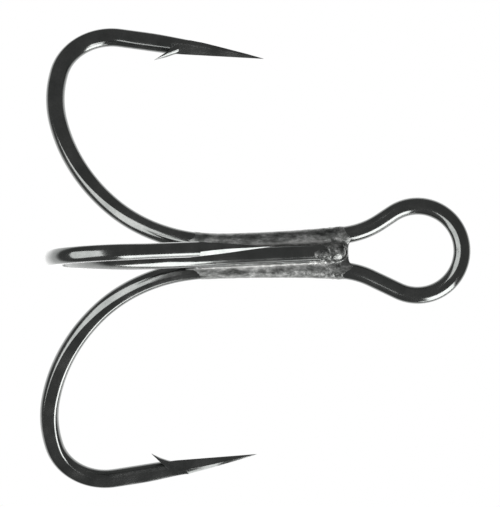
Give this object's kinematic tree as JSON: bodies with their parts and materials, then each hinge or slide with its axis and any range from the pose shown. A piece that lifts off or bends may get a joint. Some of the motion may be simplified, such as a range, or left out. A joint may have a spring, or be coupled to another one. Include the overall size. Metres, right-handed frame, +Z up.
{
  "type": "treble hook",
  "caption": "Treble fishing hook: forged wire arms with ground barbed points, brazed together at the shank below a round line eye.",
  "frame": {"origin": "centre of the line eye's ring", "axes": "+Z up the shank to the top of the eye, +Y the ring's axis with the single third hook pointing to -Y, +X across the ring and the widest way"},
  "size_m": [0.0402, 0.0347, 0.0377],
  "materials": {
    "hook_wire": "black nickel plating over high-carbon steel wire, polished with fine drawing lines",
    "braze": "black nickel plating over rough, mottled brazing alloy"
  },
  "bodies": {
    "root": {"double_hook_wire": "hook_wire", "single_hook_wire": "hook_wire", "braze_left_seam": "braze", "braze_right_seam": "braze", "braze_back_seam": "braze", "braze_eye_web": "braze"}
  },
  "joints": []
}
